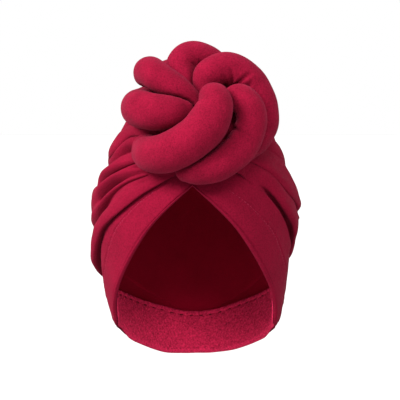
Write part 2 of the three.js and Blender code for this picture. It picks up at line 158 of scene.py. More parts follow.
# Small wrinkles scattered over the top and the back, where the photograph shows nothing.
# long, share, deepest and width: least and most. middle, end: shares of the turn there, as
# they close in towards the nape. bend: share of the slope that they have by the middle.
SCATTERED = Row(
    count=34, seed=12, start=0.42, to=0.86, turn=88, depth=1.9, slope=9, least=0.1,
    long=(0.12, 0.34), share=(0.35, 1), deepest=(0.3, 0.7), width=(1.3, 3.4),
    middle=0.93, end=0.82, bend=0.4,
)
# The cloth rises beside a wrinkle, by a share of its depth, so many widths away.
BESIDE = Row(share=0.35, deepest=2.5, away=2)
# The folds rise from this lift at the hairline and the nape, and are flatter near the nape.
CREASE_FLOOR = 1.6
LEAST_LIFT = -7.0
LEAST_CLOTH = 1.0
FOLDS_FULL_FROM = 0.2
FLATTER = Row(start=0.55, full=1, share=0.8)
# How far past the crown's border the band's top edge goes, on a sphere of radius 1. On the
# wearer's left it lies over the crown for a stretch, and under it elsewhere.
BAND_TUCK = 0.06
OVER = Row(start=0.15, full=0.22, until=0.51, to=0.66, tuck=0.025, lift=1.4, turn=3.0)
# Height above the border, on a sphere of radius 1, and the room for the band's top edge.
SEAT = {
    "outside": Row(above=[0.08, 0.13], room=[BAND_CLOTH + CLOTH_GAP, LEAST_LIFT]),
    "inside": Row(above=[0.010, 0.020, 0.030], room=[BAND_CLOTH + CLOTH_GAP, 1.7, -0.6]),
}
# Beside the band's free edge the fold leans over the gap, by so many degrees where it is high.
LEAN = Row(turn=4.0, start=81.5, full=86.5, low=-3.0, high=4.5)

TERRY_TOP = table("az right left", [
    (58, -58, -57), (100, -62, -55), (140, -81, -76), (166, -91, -89), (180, -92, -92),
])

# Stuffed rolls: points of the centre line (x, y, z) and the roll's radius there.
ROLLS = {
    "roll_front": [
        (17.5, -102.5, 121, 11), (19, -109, 121, 13.5), (20.5, -116, 114, 16), (16, -121, 102, 18.2),
        (7, -122, 90, 18.3), (-5, -121, 81, 18.2), (-20, -115, 73, 18), (-33, -103, 70.5, 16.8),
        (-39.5, -88, 71.5, 15), (-42, -76, 72, 12.5),
    ],
    "roll_lower": [
        (34, -87, 118, 11), (42, -95, 119.5, 13.3), (49.5, -98, 113, 13.6), (52, -99, 102, 13.8),
        (49.5, -101, 89, 14.2), (42.5, -104, 77.5, 14.6), (31.5, -108, 67.5, 14.6),
        (18.5, -111, 60, 14), (5, -110, 57, 12.5), (-5, -107, 57, 10),
    ],
    "roll_outer": [
        (10, -81, 127, 11.5), (12.5, -80, 137.5, 13.8), (24.5, -77, 145.5, 15.2),
        (38.5, -73, 142.7, 15.2), (49.2, -70, 134.3, 15.2), (57.2, -69, 121.8, 15.2),
        (61, -70, 109, 15.2), (60.7, -73, 96, 14.8), (54.5, -78, 83, 13.8), (46, -83, 74, 12),
    ],
    "roll_top": [
        (-8, -72, 133, 12), (-11, -62, 147, 15), (-3, -56, 154.8, 15.5), (10, -52, 152.6, 15),
        (22, -48, 145.5, 13),
    ],
    "roll_upper_left": [
        (3, -95, 117, 8), (-6, -95, 122.5, 11), (-17, -95, 129.5, 13.2), (-29, -92, 137, 14),
        (-38, -79, 143, 14), (-40, -60, 141, 13.7), (-31, -41, 139, 13), (-12, -27, 145, 12.5),
        (12, -21, 147, 12.5), (35, -27, 141, 13), (51, -38, 126, 13), (58, -49, 108, 13),
        (57, -56, 92, 12),
    ],
    "roll_left": [
        (-10, -98, 109.5, 13.5), (-20, -104, 108, 15.7), (-33, -102, 108, 17), (-44, -91, 110, 17.3),
        (-48, -72, 111, 17), (-48, -52, 112, 16), (-42, -34, 116, 14),
    ],
}

# -------- arithmetic


def curve(x, y, at):
    """Smooth curve through points (x, y), worked out at an array of places."""
    x, y, at = np.asarray(x, float), np.asarray(y, float), np.asarray(at, float)
    i = np.clip(np.searchsorted(x, at) - 1, 0, len(x) - 2)
    before, after = np.maximum(i - 1, 0), np.minimum(i + 2, len(x) - 1)
    span = x[i + 1] - x[i]
    t = (at - x[i]) / span
    m0 = (y[i + 1] - y[before]) / (x[i + 1] - x[before]) * span
    m1 = (y[after] - y[i]) / (x[after] - x[i]) * span
    rise = y[i + 1] - y[i]
    return y[i] + m0 * t + (3 * rise - 2 * m0 - m1) * t**2 + (m0 + m1 - 2 * rise) * t**3


def through(rows, key, column, at):
    return curve([r[key] for r in rows], [r[column] for r in rows], at)


def smoothstep(at, low, high):
    t = np.clip((at - low) / (high - low), 0, 1)
    return t * t * (3 - 2 * t)


def stretch(at, row):
    """0 before row.start, 1 from row.full on and, if it has an end, 0 again after row.to."""
    inside = smoothstep(at, row.start, row.full)
    return inside * (1 - smoothstep(at, row.until, row.to)) if "until" in row else inside


def bell(at, away=0):
    """1 at a distance, on either side, falling off over a width of 1."""
    return np.exp(-((np.abs(at) - away) ** 2))


def wrapped(angle):
    return (angle + np.pi) % (2 * np.pi) - np.pi


def unit(v):
    return v / np.linalg.norm(v, axis=-1, keepdims=True)


WAVE_RATES = (0.6, 1.5)
WAVE_HEIGHT = 0.6


def wave_noise(points, size, seed, count=24):
    """Smooth pseudo-random value near -1..1 that changes over a distance of about size."""
    random = np.random.default_rng(seed)
    ways = unit(random.normal(size=(count, 3)))
    pitch = random.uniform(*WAVE_RATES, count) * 2 * np.pi / size
    phase = random.uniform(0, 2 * np.pi, count)
    total = np.zeros(points.shape[:-1])
    for way, rate, start in zip(ways, pitch, phase):
        total += np.sin(points @ way * rate + start)
    return total / math.sqrt(count / 2) * WAVE_HEIGHT


def uneven(base, layers, start=0.0):
    """Layers of noise added to a start: a height for each, and what wave_noise asks for."""
    return sum((height * wave_noise(base, *noise) for height, *noise in layers), start)


# -------- head surface


def direction_at(az, z):
    """Direction from degrees round from the front and a height."""
    up = z / np.where(z > 0, HEAD.up, HEAD.down)
    flat = np.sqrt(1 - up**2)
    turn = np.radians(az)
    return np.stack([np.sin(turn) * flat, -np.cos(turn) * flat, up], -1)


def swelling(direction, centre, row):
    """A round swelling about a centre, that reaches so many degrees."""
    away = np.degrees(np.arccos(np.clip(direction @ centre, -1, 1))) / row.reach
    return row.height * np.clip(1 - away**2, 0, 1) ** 2


BOSS_CENTRE = unit(np.array([BOSS.x, BOSS.y, BOSS.z], float))
DRAWN_CENTRES = [direction_at(row.az, row.z) for row in DRAWN_IN]


def half_axes(way):
    """The head's half axes on the side that a point or a direction is on."""
    depth = np.where(way[..., 1] < 0, HEAD.front, HEAD.back)
    rise = np.where(way[..., 2] > 0, HEAD.up, HEAD.down)
    return np.stack([np.full(depth.shape, HEAD.half), depth, rise], -1)


def on_head(direction, lift=0.0):
    """Point at a lift above the head's surface, in a direction given on the unit sphere."""
    axes = half_axes(direction)
    drawn = sum(swelling(direction, at, row) for at, row in zip(DRAWN_CENTRES, DRAWN_IN))
    return direction * axes + unit(direction / axes) * (lift + drawn)[..., None]


def head_normal(points):
    return unit(points / half_axes(points) ** 2)


def chord_frame():
    hair, nape = math.radians(HAIRLINE), math.radians(NAPE)
    start = np.array([0, -math.cos(hair), math.sin(hair)])
    end = np.array([0, math.cos(nape), -math.sin(nape)])
    axis = unit(end - start)
    up = np.array([0, -axis[2], axis[1]])
    middle = (start + end) / 2
    return middle, axis, up, np.linalg.norm(end - start) / 2, -middle @ up


CHORD_MIDDLE, CHORD_AXIS, CHORD_UP, CHORD_HALF, CHORD_DROP = chord_frame()


def fold_direction(turn, along):
    """Circles through the hairline and nape points, turned round the chord between them."""
    turn = np.radians(turn)
    shift = CHORD_DROP * np.cos(turn)
    radius = np.hypot(CHORD_HALF, shift)
    sweep = np.pi / 2 + np.arctan(shift / CHORD_HALF)
    angle = np.pi / 2 - (2 * along - 1) * sweep
    side = CHORD_UP * np.cos(turn)[..., None] + np.array([1, 0, 0]) * np.sin(turn)[..., None]
    out = (shift + radius * np.sin(angle))[..., None] * side
    return unit(CHORD_MIDDLE + CHORD_AXIS * (radius * np.cos(angle))[..., None] + out)


def crease_value(number, key, along):
    within = np.clip(along, CREASE_PLACES[0], CREASE_PLACES[-1])
    return curve(CREASE_PLACES, CREASES[number][key], within)


def fold_place(direction):
    """Turn round the chord and place along it, from a direction."""
    arm = direction - CHORD_MIDDLE
    across, over = arm[..., 0], arm @ CHORD_UP
    turn = np.arctan2(across, over)
    shift = CHORD_DROP * np.cos(turn)
    angle = np.arctan2(np.hypot(across, over) - shift, arm @ CHORD_AXIS)
    sweep = np.pi / 2 + np.arctan(shift / CHORD_HALF)
    return np.degrees(turn), (1 - (angle - np.pi / 2) / sweep) / 2


def border_turn(side, along):
    return crease_value(0 if side < 0 else -1, "turns", along)


def border_direction(side, along):
    return fold_direction(border_turn(side, along), along)


# -------- lines of the rolls

ROLL_STEP = 1.6
STEPS_BETWEEN = 40
FIRST_NORMAL = [0.3, 0.2, 1.0]


def roll_line(rows):
    """Centre line of a roll: points, radii, tangents and a frame that doesn't twist."""
    rows = np.array(rows, float)
    knots, radii = rows[:, :3], rows[:, 3]
    ends = np.vstack([2 * knots[0] - knots[1], knots, 2 * knots[-1] - knots[-2]])
    gaps = np.sqrt(np.linalg.norm(np.diff(ends, axis=0), axis=1))
    times = np.concatenate([[0], np.cumsum(gaps)])
    fine, where = [], []
    for i in range(1, len(ends) - 2):
        p, t = ends[i - 1 : i + 3], times[i - 1 : i + 3]
        for s in np.linspace(0, 1, STEPS_BETWEEN, endpoint=i == len(ends) - 3):
            at = t[1] + (t[2] - t[1]) * s
            a = [p[k] + (p[k + 1] - p[k]) * (at - t[k]) / (t[k + 1] - t[k]) for k in range(3)]
            b = [a[k] + (a[k + 1] - a[k]) * (at - t[k]) / (t[k + 2] - t[k]) for k in range(2)]
            fine.append(b[0] + (b[1] - b[0]) * (at - t[1]) / (t[2] - t[1]))
            where.append(i - 1 + s)
    fine = np.array(fine)
    run = np.concatenate([[0], np.cumsum(np.linalg.norm(np.diff(fine, axis=0), axis=1))])
    count = int(run[-1] / ROLL_STEP)
    at = np.linspace(0, run[-1], count + 1)
    points = np.stack([np.interp(at, run, fine[:, k]) for k in range(3)], 1)
    radius = curve(np.arange(len(radii)), radii, np.interp(at, run, where))
    tangents = unit(np.gradient(points, axis=0))
    normals = np.zeros_like(points)
    normals[0] = unit(np.cross(tangents[0], FIRST_NORMAL))
    for i in range(1, count + 1):
        n = normals[i - 1] - tangents[i] * (normals[i - 1] @ tangents[i])
        normals[i] = n / np.linalg.norm(n)
    return Row(points=points, radius=radius, tangents=tangents, normals=normals, run=at)


lines = {name: roll_line(rows) for name, rows in ROLLS.items()}


# -------- meshes


def make_piece(name, points, faces, material, uv=None):
    """One smooth mesh in the frame, riding on the body, from points in millimetres."""
    mesh = bpy.data.meshes.new(name)
    placed = (points.reshape(-1, 3) - [0, 0, CROWN_TOP]) * MM
    mesh.from_pydata(placed.tolist(), [], faces)
    mesh.update()
    mesh.shade_smooth()
    if uv is not None:
        corner = np.empty(len(mesh.loops), int)
        mesh.loops.foreach_get("vertex_index", corner)
        layer = mesh.uv_layers.new(name="cloth")
        layer.data.foreach_set("uv", uv.reshape(-1, 2)[corner].ravel())
    piece = bpy.data.objects.new(name, mesh)
    bpy.context.scene.collection.objects.link(piece)
    piece.data.materials.append(material)
    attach(piece, "root")
    return piece


def grid_faces(rows, columns, start=0, ring_rows=False, ring_columns=False):
    i = np.arange(rows if ring_rows else rows - 1)
    j = np.arange(columns if ring_columns else columns - 1)
    i, j = np.meshgrid(i, j, indexing="ij")
    i, j = i.ravel(), j.ravel()
    k, m = (i + 1) % rows, (j + 1) % columns
    corners = [i * columns + m, k * columns + m, k * columns + j, i * columns + j]
    return (np.stack(corners, 1) + start).tolist()


def turned_over(faces):
    return [face[::-1] for face in faces]


def cloth_shell(outer, inner, step, uv):
    """Closed cloth: a fine grid, and behind it one with every step-th row and column."""
    fine = np.arange(outer[..., 0].size).reshape(outer.shape[:2])
    coarse = fine.size + np.arange(inner[..., 0].size).reshape(inner.shape[:2])

    def rim_face(fine_edge, coarse_edge, k, turned):
        span = fine_edge[k * step : (k + 1) * step + 1].tolist()
        pair = coarse_edge[k : k + 2].tolist()
        return pair[::-1] + span if turned else pair + span[::-1]

    faces = grid_faces(*fine.shape) + turned_over(grid_faces(*coarse.shape, fine.size))
    for k in range(coarse.shape[0] - 1):
        faces.append(rim_face(fine[:, 0], coarse[:, 0], k, True))
        faces.append(rim_face(fine[:, -1], coarse[:, -1], k, False))
    for k in range(coarse.shape[1] - 1):
        faces.append(rim_face(fine[0], coarse[0], k, False))
        faces.append(rim_face(fine[-1], coarse[-1], k, True))
    points = np.concatenate([outer.reshape(-1, 3), inner.reshape(-1, 3)])
    return points, faces, np.concatenate([uv.reshape(-1, 2), uv[::step, ::step].reshape(-1, 2)])


# -------- materials


def new_material(name):
    material = bpy.data.materials.new(name)
    material.use_nodes = True
    return material, material.node_tree, material.node_tree.nodes["Principled BSDF"]


def feed(tree, node, inputs):
    """Sets inputs of a node to values, or links them to the outputs given for them."""
    for key, value in inputs.items():
        if isinstance(value, bpy.types.NodeSocket):
            tree.links.new(value, node.inputs[key])
        else:
            node.inputs[key].default_value = value


def new_node(tree, kind, **inputs):
    """The outputs of a new node."""
    node = tree.nodes.new(kind)
    feed(tree, node, inputs)
    return node.outputs


def noise_colours(tree, low, high, spread, **inputs):
    """Noise over the object, and the same as colours from low to high."""
    place = new_node(tree, "ShaderNodeTexCoord")["Object"]
    noise = new_node(tree, "ShaderNodeTexNoise", Vector=place, **inputs)["Fac"]
    ramp = tree.nodes.new("ShaderNodeValToRGB")
    for stop, at, colour in zip(ramp.color_ramp.elements, (0.5 - spread, 0.5 + spread), (low, high)):
        stop.position = at
        stop.color = (*colour, 1)
    feed(tree, ramp, {"Fac": noise})
    return noise, ramp.outputs["Color"]


def cloth_material(
    name, colour, fleck, pile, weave=0.00012, ribs=420, grain=700, sheen=0.03, patch=35, mottle=0.065
):
    """Matt cloth: soft colour variation, a fine fleck of fibre ends, ribs and a nap.

    fleck, mottle: how much darker the darkest grain and patch are, as shares. pile, weave:
    depth of the nap and the ribs in metres. grain, patch, ribs: number to a metre.
    """
    material, tree, shader = new_material(name)
    colour = np.array(colour)
    pale, dark = colour * (1 + mottle), colour * (1 - mottle)
    _, patches = noise_colours(tree, dark, pale, RAMP_SPREAD, Scale=patch, Detail=3)
    darkest, white = np.full(3, 1 - fleck), np.full(3, 1.0)
    nap, flecks = noise_colours(
        tree, darkest, white, RAMP_SPREAD, Scale=grain, Detail=3, Roughness=0.7
    )
    blend = tree.nodes.new("ShaderNodeMix")
    blend.data_type = "RGBA"
    blend.blend_type = "MULTIPLY"
    feed(tree, blend, {"Factor": 1, "A": patches, "B": flecks})
    uv = tree.nodes.new("ShaderNodeUVMap")
    uv.uv_map = "cloth"
    wave = {"Vector": uv.outputs["UV"], "Scale": ribs, "Distortion": 0.6, "Detail": 1}
    rib = new_node(tree, "ShaderNodeTexWave", **wave)["Fac"]
    relief = new_node(tree, "ShaderNodeBump", Height=rib, Strength=0.5, Distance=weave)["Normal"]
    relief = new_node(
        tree, "ShaderNodeBump", Height=nap, Normal=relief, Strength=0.6, Distance=pile
    )["Normal"]
    feed(tree, shader, {
        "Base Color": blend.outputs["Result"], "Normal": relief,
        "Roughness": 0.92, "Specular IOR Level": 0.02,
        "Sheen Weight": sheen, "Sheen Roughness": 0.45, "Sheen Tint": (1.0, 0.2, 0.35, 1),
    })
    return material


def thread_material(name, colour):
    material, tree, shader = new_material(name)
    _, twist = noise_colours(tree, colour * 0.75, colour * 1.15, TWIST_SPREAD, Scale=1800)
    feed(tree, shader, {"Base Color": twist, "Roughness": 0.8, "Specular IOR Level": 0.08})
    return material


RAMP_SPREAD = 0.2
TWIST_SPREAD = 0.15
JERSEY = np.array([0.157, 0.0032, 0.0166])
# The inside's colour has less green and blue than the jersey's: a deeper, more saturated red that is
# painted shade for the inside of the crown and band.
INSIDE_PAINTED_SHADE_COLOUR = (0.19, 0.0012, 0.0110)
# The terry's colour is several times as bright as the jersey's: painted light, standing in for the
# light that reaches it inside the crown.
TERRY_WITH_PAINTED_LIGHT = (0.61, 0.0185, 0.074)
jersey = cloth_material("jersey", JERSEY, fleck=0.42, pile=0.0008)
jersey_inside_painted_shade = cloth_material("jersey_inside_painted_shade", INSIDE_PAINTED_SHADE_COLOUR, fleck=0.16, pile=0.0004)
roll_jersey = cloth_material(
    "roll_jersey", JERSEY * 1.12, fleck=0.54, pile=0.0009, grain=820, sheen=0.08, patch=75,
    mottle=0.12,
)
terry = cloth_material(
    "terry", TERRY_WITH_PAINTED_LIGHT, fleck=0.70, pile=0.0020, weave=0.0005, ribs=260, grain=560, sheen=0.05
)
pale_thread = thread_material("pale_thread", JERSEY * [1.5, 5.0, 2.6])
# Thread of the terry's stitches: real stitches, coloured far darker than the cloth as painted shade
# of the dimples that they pull in.
dark_thread_painted_shade = thread_material("dark_thread_painted_shade", JERSEY * 0.35)


def give_inside_painted_shade(piece, inside):
    """Gives a piece's inside faces the inside material, whose deeper red is painted shade."""
    piece.data.materials.append(jersey_inside_painted_shade)
    piece.data.polygons.foreach_set("material_index", inside.astype(int))


# -------- crown

CROWN_ROWS = Row(front=184, back=96)
FRONT_ROWS_END = 0.5
SHELL_STEP = 4
CROWN_UNEVEN = [(0.5, 60, 3), (0.2, 18, 4)]
LINING_DRAPE = [(0.5, 70, 5)]
LINING_BELOW = 0.3
# For the ribs: metres of cloth to a degree of turn, and from hairline to nape.
METRES_PER_TURN = 0.0016
CROWN_LENGTH = 0.4
# All the folds end in a seam at the nape. height: over the band's outside.
NAPE_SEAM = Row(start=0.92, full=CROWN_END, height=-1.2)


def scattered_wrinkles():
    random = np.random.default_rng(SCATTERED.seed)
    rows = []
    for _ in range(SCATTERED.count):
        start = random.uniform(SCATTERED.start, SCATTERED.to - SCATTERED.least)
        turn = random.uniform(-1, 1) * SCATTERED.turn
        slope = random.uniform(-1, 1) * SCATTERED.slope
        middle = turn * SCATTERED.middle + slope * SCATTERED.bend
        rows.append(Row(
            start=start,
            to=min(start + random.uniform(*SCATTERED.long), SCATTERED.to),
            turns=[turn, middle, turn * SCATTERED.end + slope],
            depth=random.uniform(*SCATTERED.share) * SCATTERED.depth,
            deepest=random.uniform(*SCATTERED.deepest),
            width=random.uniform(*SCATTERED.width),
        ))
    return rows


def crown_columns():
    """Fold number and fraction f across it for every mesh column."""
    folds, fractions = [], []
    for number, crease in enumerate(CREASES[:-1]):
        folds += [number] * crease.columns
        fractions += list(np.arange(crease.columns) / crease.columns)
    return np.array(folds + [len(CREASES) - 2]), np.array(fractions + [1.0])


def wrinkle_depth(turn, along):
    total = np.zeros(turn.shape)
    for wrinkle in WRINKLES + scattered_wrinkles():
        run = (along - wrinkle.start) / (wrinkle.to - wrinkle.start)
        within = np.clip(run, 0, 1)
        middle = curve([0, 0.5, 1], wrinkle.turns, within)
        peak = wrinkle.deepest
        fade = np.where(within < peak, smoothstep(within, 0, peak), 1 - smoothstep(within, peak, 1))
        off = (turn - middle[:, None]) / wrinkle.width
        raised = BESIDE.share * min(wrinkle.depth, BESIDE.deepest)
        total += fade[:, None] * (wrinkle.depth * bell(off) - raised * bell(off, BESIDE.away))
    return total


def crease_values(key, along):
    """One column for every crease."""
    return np.stack([crease_value(n, key, along) for n in range(len(CREASES))], 1)


def between(values, folds, fractions):
    """Values at the mesh columns, straight across each fold from crease to crease."""
    return values[:, folds] + (values[:, folds + 1] - values[:, folds]) * fractions


def crown_surface(along, folds, fractions):
    """Direction, lift of the cloth's underside, and turn, over a grid of places."""
    column = {key: np.array([c[key] for c in CREASES], float) for key in ("crest", "over")}
    turns = crease_values("turns", along)
    height = crease_values("heights", along)
    leans = np.where(column["crest"] < 0.5, 1, -1)[folds]
    power = (np.log(0.5) / np.log(column["crest"]))[folds]
    profile = np.sin(np.pi * fractions**power) ** FOLD_FULLNESS
    near_side = np.where(leans > 0, 1 - fractions, fractions) ** 2
    across = fractions - leans * column["over"][folds] * profile * near_side
    turn = between(turns, folds, across)
    flatter = FLATTER.share * stretch(along, FLATTER)
    swell = smoothstep(along, 0, FOLDS_FULL_FROM) * smoothstep(1 - along, 0, FOLDS_FULL_FROM)
    swell = swell * (1 - flatter)
    low = between(crease_values("bottoms", along), folds, fractions)
    ridge = low + (height[:, folds] - low) * profile
    ridge = CREASE_FLOOR + swell[:, None] * (ridge - CREASE_FLOOR)
    flat_turn = between(turns, folds, fractions)
    ridge = np.maximum(ridge - wrinkle_depth(flat_turn, along), LEAST_LIFT)
    high = smoothstep(ridge, LEAN.low, LEAN.high) * stretch(flat_turn, LEAN)
    turn = turn + LEAN.turn * high * band_over(1, along)[:, None]
    direction = fold_direction(turn, along[:, None])
    return direction, ridge, turn


def band_over(side, along):
    """Where the band's edge lies over the crown, and not under it: 1, and 0 elsewhere."""
    if side < 0:
        return np.zeros(np.shape(along))
    return stretch(along, OVER)


def seat_lift(direction, turn, along, reach):
    """Room above the border for the band's top edge."""
    border = {side: border_direction(side, along)[:, None, 2] for side in (-1, 1)}
    above = direction[..., 2] - np.where(turn < 0, border[-1], border[1])
    room = np.interp(above, SEAT[reach].above, SEAT[reach].room)
    under = np.where(turn < 0, 1, 1 - band_over(1, along)[:, None])
    return LEAST_LIFT + under * (room - LEAST_LIFT)


# The front roll's end runs into the crown: the cloth climbs its side there.
CLIMB = Row(roll="roll_front", start=0.50, full=0.80, height=1.2, reach=12.0, step=3)


def climb_lift(points):
    line = lines[CLIMB.roll]
    share = line.run / line.run[-1]
    some = np.flatnonzero(share > CLIMB.start)[:: CLIMB.step]
    total = np.zeros(points.shape[:-1])
    for centre, radius, at in zip(line.points[some], line.radius[some], share[some]):
        away = np.linalg.norm(points - centre, axis=-1) - radius
        near = stretch(at, CLIMB)
        lift = near * CLIMB.height * np.exp(-np.clip(away, 0, None) / CLIMB.reach)
        total = np.maximum(total, lift)
    return total


def make_crown():
    along = np.concatenate([
        np.linspace(CROWN_START, FRONT_ROWS_END, CROWN_ROWS.front, endpoint=False),
        np.linspace(FRONT_ROWS_END, CROWN_END, CROWN_ROWS.back + 1),
    ])
    folds, fractions = crown_columns()
    direction, ridge, turn = crown_surface(along, folds, fractions)
    seat = seat_lift(direction, turn, along, "outside")
    boss = swelling(direction, BOSS_CENTRE, BOSS)
    base = on_head(direction)
    soft = uneven(base, CROWN_UNEVEN) * np.sin(np.pi * along)[:, None]
    cover = np.maximum(ridge + soft, seat) + boss + CROWN_CLOTH
    sewn = stretch(along, NAPE_SEAM)[:, None]
    cover += sewn * (BAND_CLOTH + NAPE_SEAM.height - cover)
    outer = on_head(direction, cover + climb_lift(on_head(direction, cover)))
    few = slice(None, None, SHELL_STEP)
    plain_turn = between(crease_values("turns", along[few]), folds[few], fractions[few])
    plain = fold_direction(plain_turn, along[few, None])
    drape = uneven(on_head(plain), LINING_DRAPE)
    seat = seat_lift(plain, turn[few, few], along[few], "inside")
    inside = np.maximum(drape - LINING_BELOW, seat) + swelling(plain, BOSS_CENTRE, BOSS)
    inner = on_head(plain, np.minimum(inside, cover[few, few] - LEAST_CLOTH))
    uv = np.stack(np.broadcast_arrays(turn * METRES_PER_TURN, along[:, None] * CROWN_LENGTH), -1)
    points, faces, uv = cloth_shell(outer, inner, SHELL_STEP, uv)
    piece = make_piece("crown_cloth", points, faces, jersey, uv)
    outside, inside = (len(grid_faces(*grid.shape[:2])) for grid in (outer, inner))
    number = np.arange(len(faces))
    # The inside faces get the inside material, whose deeper red is painted shade.
    give_inside_painted_shade(piece, (number >= outside) & (number < outside + inside))
    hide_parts("crown")
    return outer


# -------- stitches

THREAD_SIDES = 8
STITCH_PLACES = np.linspace(-0.5, 0.5, 5)
# How wide the thread is at those places and at its two tips, and how far on the tips are.
THREAD_WIDTHS = [0.75, 1, 1, 1, 0.75]
THREAD_TIP = Row(wide=0.25, beyond=0.3)


def make_stitches(name, paths, thickness, material):
    """One mesh of short sewn stitches, each a bent capsule along a path of points."""
    points, faces = [], []
    theta = np.linspace(0, 2 * np.pi, THREAD_SIDES, endpoint=False)
    for path in paths:
        start = len(points)
        along = unit(path[-1] - path[0])
        out = head_normal(path[len(path) // 2])
        across = unit(np.cross(along, out))
        beyond, tip = along * thickness * THREAD_TIP.beyond, THREAD_TIP.wide
        rows = [(path[0] - beyond, tip), *zip(path, THREAD_WIDTHS), (path[-1] + beyond, tip)]
        for centre, wide in rows:
            for t in theta:
                round_it = across * math.cos(t) + out * math.sin(t)
                points.append(centre + round_it * wide * thickness / 2)
        faces += turned_over(grid_faces(len(rows), THREAD_SIDES, start, ring_columns=True))
        faces.append(list(range(start, start + THREAD_SIDES))[::-1])
        last = start + (len(rows) - 1) * THREAD_SIDES
        faces.append(list(range(last, last + THREAD_SIDES)))
    return make_piece(name, np.array(points), faces, material)


# -------- face band

# Stitches of the seam. first: where they start after it. deeper: at most, and at random.
BAND_STITCH = Row(
    first=0.02, length=2.3, pitch=3.5, thick=0.5, bow=0.28, sunk=0.05, deeper=0.34, seed=31,
)
BAND_STEPS = 240
INSIDE_ROWS = 12
OUTSIDE_ROWS = 60
# The hem's section from inside to outside: place across the band, lift in halves of its cloth.
HEM_SECTION = [
    (0.045, -0.15), (0.02, 0), (0.006, 0.4), (0, 1), (0.004, 1.7), (0.015, 2.6), (0.03, 3.0),
    (0.045, 2.9), (0.055, 2.2), (0.063, 1.3), (0.074, 1.6), (0.09, 2.0),
]
FOOT_ROW = INSIDE_ROWS + 4
# Its top edge's two rows, as shares of the cloth's thickness.
TOP_SHARES = np.array([0.7, 0.3])
# Along the band, where the fold of its hem fades out.
HEM_FADES = Row(start=0.44, full=0.54)
# The outside rounds off to the foot at the sides, and thins to the top edge under the crown.
FOOT_ROUNDS = Row(start=0.50, full=0.58, until=0.72, to=0.80, across=0.13, depth=1.9)
THINS = Row(start=0.88, depth=1.4)
# Where the band lies over the crown its inside rises near the top edge.
OVER_RISES = Row(start=0.80, full=0.92)
# For the ribs: metres across the band, and from the front to the nape.
BAND_LENGTHS = Row(across=0.06, half=0.35)
FINE_PLACES = 900
# The band's seam: its groove, the cloth raised beside it, and small puckers along it.
SEAM = Row(turn=104.5, start=0.10, full=0.14, to=0.90, width=0.55, depth=0.55)
SEAM_BESIDE = Row(height=0.25, away=2.2)
SEAM_PUCKERS = Row(height=0.32, away=5, noise=(8, 23))
BAND_UNEVEN = [(0.35, 45, 21), (0.12, 14, 22)]
# Soft fold of the band beside the crown, on each side: its height, and degrees from the crown.
BULGE = {-1: Row(height=0.8, at=3), 1: Row(height=1.6, at=1.6)}
BULGE_RUN = Row(start=0.16, full=0.3, until=0.45, to=0.58)
# The hem sits a little lower at the wearer's right: half the difference, in millimetres.
HEM_TILT = Row(height=1.5, start=88, full=112, until=140, to=180)


def under_rim(az):
    """Where the terry wraps round the band's edge: 1 at the back, 0 at the sides."""
    return stretch(az, LIP)


def rim_height(side, along):
    """Height of the band's own edge."""
    az = through(RIM, "along", "az", along)
    tilt = stretch(az, HEM_TILT) * HEM_TILT.height * side
    return through(RIM, "along", "z", along) + tilt + RIM_LIFT * under_rim(az)


def band_direction(side, along, across):
    az = through(RIM, "along", "az", along) * side
    z = rim_height(side, along)
    rim = direction_at(az, z)
    top = border_direction(side, along)
    top[..., 2] += BAND_TUCK + (OVER.tuck - BAND_TUCK) * band_over(side, along)
    return unit(rim + (unit(top) - rim) * across[..., None])


def band_profile():
    """Places across the band and lifts, round its section: inside, hem, outside, top."""
    edge = BAND_CLOTH / 2
    rows = [(a, 0) for a in np.linspace(0.97, 0.07, INSIDE_ROWS)]
    rows += [(a, halves * edge) for a, halves in HEM_SECTION]
    outside = [(a, 2 * edge) for a in np.linspace(0.11, 0.97, OUTSIDE_ROWS)]
    return np.array(rows + outside + [(1, share * BAND_CLOTH) for share in TOP_SHARES]), len(rows)


def band_relief(side, direction):
    """Lift of the band's outside: the soft fold along the crown, the seam and light dents."""
    turn, along = fold_place(direction)
    below = np.abs(turn) - np.abs(border_turn(side, along))
    below = below + OVER.turn * band_over(side, along)
    shape = BULGE[side]
    ramp = np.clip(below, 0, None) / shape.at
    relief = shape.height * stretch(along, BULGE_RUN) * ramp * np.exp(1 - ramp)
    off = (np.abs(turn) - SEAM.turn) / SEAM.width
    seam = stretch(along, SEAM)
    relief -= SEAM.depth * seam * bell(off)
    relief += SEAM_BESIDE.height * seam * bell(off, SEAM_BESIDE.away)
    base = on_head(direction)
    puckers = SEAM_PUCKERS.height * seam * bell(off / SEAM_PUCKERS.away)
    relief += puckers * wave_noise(base, *SEAM_PUCKERS.noise)
    return uneven(base, BAND_UNEVEN, relief)


def seam_stitches(side):
    """Paths of the stitches that sew the band's edge down under the crown."""

    def on_seam(along):
        return fold_direction(np.full(len(along), side * SEAM.turn), along)

    length = BAND_STITCH.length
    fine = np.linspace(SEAM.start + BAND_STITCH.first, SEAM.to, FINE_PLACES)
    line = on_head(on_seam(fine))
    run = np.concatenate([[0], np.cumsum(np.linalg.norm(np.diff(line, axis=0), axis=1))])
    middles = np.arange(length, run[-1] - length, BAND_STITCH.pitch)
    deeper = np.random.default_rng(BAND_STITCH.seed).uniform(0, BAND_STITCH.deeper, len(middles))
    paths = []
    for place in STITCH_PLACES:
        direction = on_seam(np.interp(middles + place * length, run, fine))
        lift = BAND_CLOTH + band_relief(side, direction)
        lift = lift + BAND_STITCH.bow * math.cos(math.pi * place) - BAND_STITCH.sunk - deeper
        paths.append(on_head(direction, lift))
    return np.stack(paths, 1)


